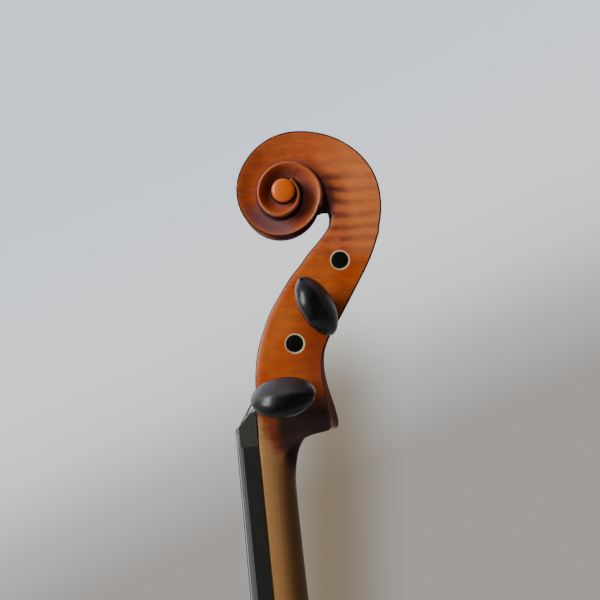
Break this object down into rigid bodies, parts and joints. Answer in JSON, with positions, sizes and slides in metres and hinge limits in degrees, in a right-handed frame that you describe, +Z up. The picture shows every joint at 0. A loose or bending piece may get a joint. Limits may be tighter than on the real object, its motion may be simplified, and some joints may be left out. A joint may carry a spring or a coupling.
{
  "type": "cello",
  "caption": "Full-size cello with carved scroll, tapered pegs, arched plates with f-holes, bridge, taut strings, tailpiece with fine tuners and a sliding endpin.",
  "frame": {"origin": "point of the endpin, with the endpin pushed in as far as it goes", "axes": "+Z up the instrument to the scroll, -Y out of the belly, +Y out of the back, +X to the treble (A string) side"},
  "size_m": [0.437, 0.2556, 1.2869],
  "materials": {
    "spruce": "orange-brown spirit varnish",
    "maple": "orange-brown varnish over flamed maple",
    "bare_maple": "unvarnished maple",
    "willow": "planed, unvarnished",
    "bare_spruce": "planed, unvarnished",
    "ebony": "polished black wood",
    "purfling": "dyed and plain strips",
    "steel": "bright drawn",
    "black_metal": "black satin",
    "chrome": "plated",
    "brass": "bright",
    "string_wrap": "flat-wound metal",
    "tail_cord": "black braided cord"
  },
  "bodies": {
    "body": {"back": "maple", "back_linings": "willow", "back_purfling": "purfling", "bass_bar": "bare_spruce", "belly": "spruce", "belly_linings": "willow", "belly_purfling": "purfling", "bridge": "bare_maple", "corner_blocks": "willow", "endpin_ferrule": "chrome", "endpin_plug": "ebony", "fingerboard": "ebony", "lower_block": "willow", "lower_rib_bass": "maple", "lower_rib_treble": "maple", "middle_rib_bass": "maple", "middle_rib_treble": "maple", "neck_and_scroll": "maple", "nut": "ebony", "saddle": "ebony", "sound_post": "bare_spruce", "string_a": "string_wrap", "string_c": "string_wrap", "string_d": "string_wrap", "string_g": "string_wrap", "tail_gut": "tail_cord", "tailpiece": "ebony", "tuner_pivot_pin": "steel", "upper_block": "willow", "upper_rib_bass": "maple", "upper_rib_treble": "maple"},
    "peg_a": {"peg_a": "ebony", "winding_a": "string_wrap"},
    "tuner_screw_a": {"tuner_screw_a": "chrome"},
    "tuner_lever_a": {"tuner_lever_a": "black_metal", "ball_end_a": "brass"},
    "peg_d": {"peg_d": "ebony", "winding_d": "string_wrap"},
    "tuner_screw_d": {"tuner_screw_d": "chrome"},
    "tuner_lever_d": {"tuner_lever_d": "black_metal", "ball_end_d": "brass"},
    "peg_g": {"peg_g": "ebony", "winding_g": "string_wrap"},
    "tuner_screw_g": {"tuner_screw_g": "chrome"},
    "tuner_lever_g": {"tuner_lever_g": "black_metal", "ball_end_g": "brass"},
    "peg_c": {"peg_c": "ebony", "winding_c": "string_wrap"},
    "tuner_screw_c": {"tuner_screw_c": "chrome"},
    "tuner_lever_c": {"tuner_lever_c": "black_metal", "ball_end_c": "brass"},
    "endpin": {"endpin_rod": "steel", "endpin_point": "steel"},
    "endpin_screw": {"endpin_screw": "chrome"}
  },
  "joints": [
    {"name": "peg_a_turn", "type": "hinge", "parent": "body", "child": "peg_a", "pos_m": [0, -0.01165, 1.12395], "axis": [1, 0, 0], "continuous": true},
    {"name": "peg_d_turn", "type": "hinge", "parent": "body", "child": "peg_d", "pos_m": [0, 0.023, 1.1723], "axis": [1, 0, 0], "continuous": true},
    {"name": "peg_g_turn", "type": "hinge", "parent": "body", "child": "peg_g", "pos_m": [0, 0.04567, 1.19689], "axis": [1, 0, 0], "continuous": true},
    {"name": "peg_c_turn", "type": "hinge", "parent": "body", "child": "peg_c", "pos_m": [0, 0.00329, 1.15207], "axis": [1, 0, 0], "continuous": true},
    {"name": "endpin_slide", "type": "slide", "parent": "body", "child": "endpin", "axis": [0, 0, -1], "range_m": [0, 0.35]},
    {"name": "endpin_screw_turn", "type": "hinge", "parent": "body", "child": "endpin_screw", "pos_m": [0, -0.012, 0.049], "axis": [0, -1, 0], "range_deg": [0, 720]},
    {"name": "tuner_screw_a_turn", "type": "hinge", "parent": "body", "child": "tuner_screw_a", "pos_m": [0.0165, -0.12421, 0.2525], "axis": [0, 1, 0], "range_deg": [0, 720]},
    {"name": "tuner_lever_a_tilt", "type": "hinge", "parent": "body", "child": "tuner_lever_a", "pos_m": [0.0165, -0.11599, 0.265], "axis": [1, 0, 0], "range_deg": [0, 6.1]},
    {"name": "tuner_screw_d_turn", "type": "hinge", "parent": "body", "child": "tuner_screw_d", "pos_m": [0.0055, -0.12421, 0.2525], "axis": [0, 1, 0], "range_deg": [0, 720]},
    {"name": "tuner_lever_d_tilt", "type": "hinge", "parent": "body", "child": "tuner_lever_d", "pos_m": [0.0055, -0.11599, 0.265], "axis": [1, 0, 0], "range_deg": [0, 6.1]},
    {"name": "tuner_screw_g_turn", "type": "hinge", "parent": "body", "child": "tuner_screw_g", "pos_m": [-0.0055, -0.12421, 0.2525], "axis": [0, 1, 0], "range_deg": [0, 720]},
    {"name": "tuner_lever_g_tilt", "type": "hinge", "parent": "body", "child": "tuner_lever_g", "pos_m": [-0.0055, -0.11599, 0.265], "axis": [1, 0, 0], "range_deg": [0, 6.1]},
    {"name": "tuner_screw_c_turn", "type": "hinge", "parent": "body", "child": "tuner_screw_c", "pos_m": [-0.0165, -0.12421, 0.2525], "axis": [0, 1, 0], "range_deg": [0, 720]},
    {"name": "tuner_lever_c_tilt", "type": "hinge", "parent": "body", "child": "tuner_lever_c", "pos_m": [-0.0165, -0.11599, 0.265], "axis": [1, 0, 0], "range_deg": [0, 6.1]}
  ],
  "couplings": [
    {"joint": "tuner_lever_a_tilt", "follows": "tuner_screw_a_turn", "ratio": 0.008333},
    {"joint": "tuner_lever_d_tilt", "follows": "tuner_screw_d_turn", "ratio": 0.008333},
    {"joint": "tuner_lever_g_tilt", "follows": "tuner_screw_g_turn", "ratio": 0.008333},
    {"joint": "tuner_lever_c_tilt", "follows": "tuner_screw_c_turn", "ratio": 0.008333}
  ]
}
